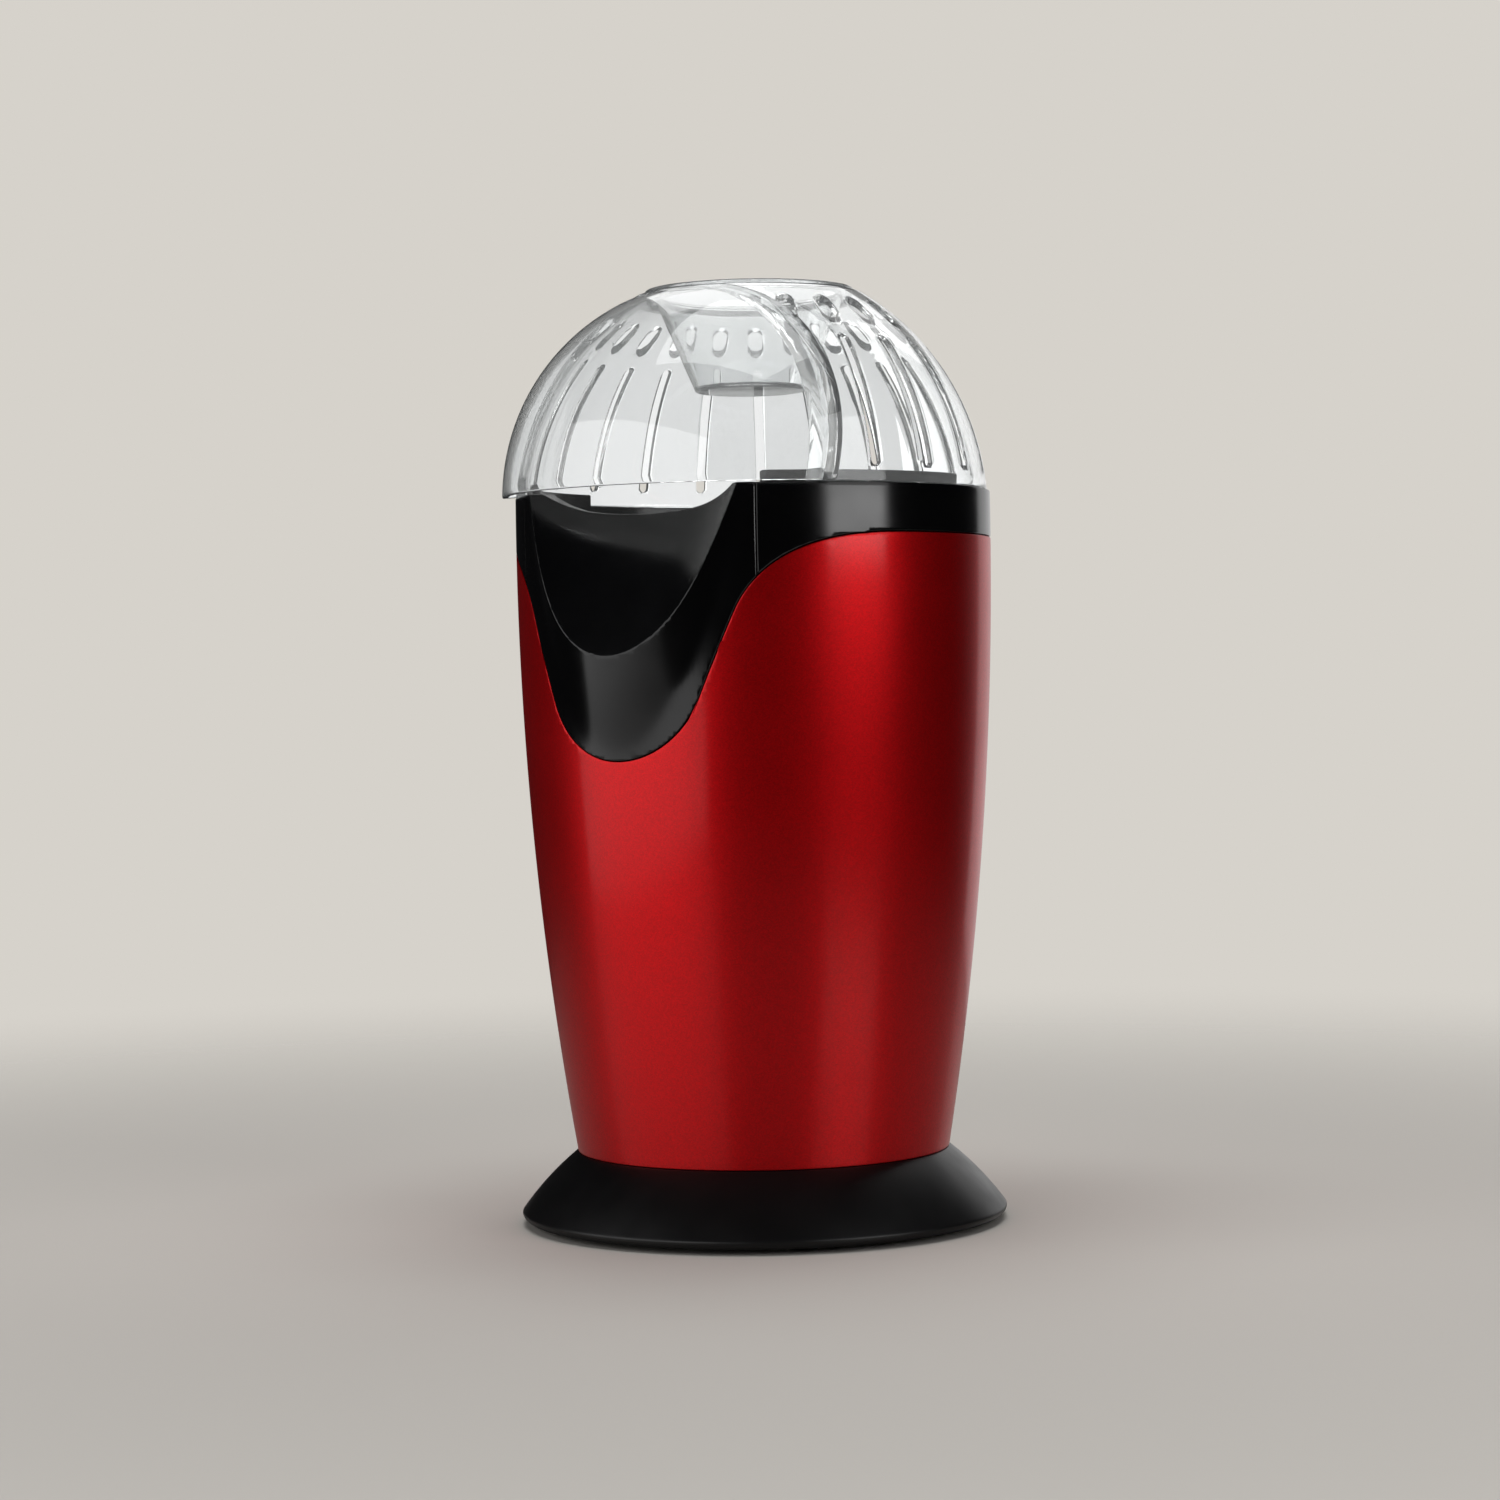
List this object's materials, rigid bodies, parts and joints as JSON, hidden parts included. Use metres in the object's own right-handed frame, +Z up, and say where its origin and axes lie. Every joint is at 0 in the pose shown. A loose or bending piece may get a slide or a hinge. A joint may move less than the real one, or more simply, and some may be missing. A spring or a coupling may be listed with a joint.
{
  "type": "popcorn maker",
  "caption": "Upright hot-air popcorn maker: flared base, tapered shell, collar with a front scoop chute, clear vented hood and a lift-out measuring cup.",
  "frame": {"origin": "on the surface that the feet stand on, at the centre of the object's box, on the axis of the shell", "axes": "+Z up along the axis of the shell; -Y is the front, where the chute is; +X is to the right of somebody who faces the back"},
  "size_m": [0.1566, 0.1614, 0.3],
  "materials": {
    "red_lacquer": "metallic red lacquer, gloss",
    "black_gloss": "black ABS, gloss",
    "black_satin": "black polypropylene, satin",
    "clear_plastic": "clear polycarbonate, polished",
    "foot_rubber": "black rubber, matte",
    "chamber_aluminium": "drawn aluminium, satin",
    "galvanised_sheet": "zinc-plated steel sheet",
    "screw_steel": "zinc-plated steel",
    "silicone_red": "silicone rubber, matte",
    "mica": "pressed mica board",
    "resistance_wire": "oxidised nickel-chrome wire",
    "phenolic": "phenolic moulding, satin",
    "nylon_white": "natural nylon, satin",
    "fan_plastic": "glass-filled nylon, satin",
    "ferrite": "sintered ferrite",
    "core_steel": "laminated electrical steel",
    "copper": "enamelled copper",
    "carbon": "carbon graphite",
    "bronze": "sintered bronze",
    "circuit_board": "phenolic paper board"
  },
  "bodies": {
    "appliance": {"rubber_feet": "foot_rubber", "bottom_cover": "black_satin", "cover_screws": "screw_steel", "base_skirt": "black_satin", "cord_gland": "black_satin", "terminal_block": "nylon_white", "outer_shell": "red_lacquer", "top_collar": "black_gloss", "front_chute": "black_gloss", "chamber_gasket": "silicone_red", "popping_chamber": "chamber_aluminium", "heater_housing": "galvanised_sheet", "housing_screws": "screw_steel", "mica_board_a": "mica", "mica_board_b": "mica", "heating_coils": "resistance_wire", "thermostat": "phenolic", "thermal_fuse": "screw_steel", "fan_housing": "fan_plastic", "motor_can": "galvanised_sheet", "motor_magnets": "ferrite", "brush_blocks": "carbon", "upper_bush": "bronze", "lower_bush": "bronze", "motor_end_cap": "nylon_white", "motor_screws": "screw_steel", "rectifier_board": "circuit_board", "rectifier_diodes": "carbon", "switch_housing": "black_satin"},
    "hood": {"hood": "clear_plastic"},
    "cup": {"measuring_cup": "clear_plastic"},
    "rotor": {"fan_impeller": "nylon_white", "motor_shaft": "screw_steel", "rotor_core": "core_steel", "rotor_windings": "copper", "commutator": "copper"},
    "rocker": {"switch_rocker": "black_gloss"}
  },
  "joints": [
    {"name": "hood_lift", "type": "slide", "parent": "appliance", "child": "hood", "axis": [0, 0, 1], "range_m": [0, 0.12]},
    {"name": "cup_lift", "type": "slide", "parent": "hood", "child": "cup", "axis": [0, 0, 1], "range_m": [0, 0.06]},
    {"name": "fan_spin", "type": "hinge", "parent": "appliance", "child": "rotor", "pos_m": [0, 0, 0.07], "axis": [0, 0, 1], "continuous": true},
    {"name": "rocker_press", "type": "hinge", "parent": "appliance", "child": "rocker", "pos_m": [0, 0.06065, 0.04674], "axis": [1, 0, 0], "range_deg": [0, 16]}
  ]
}
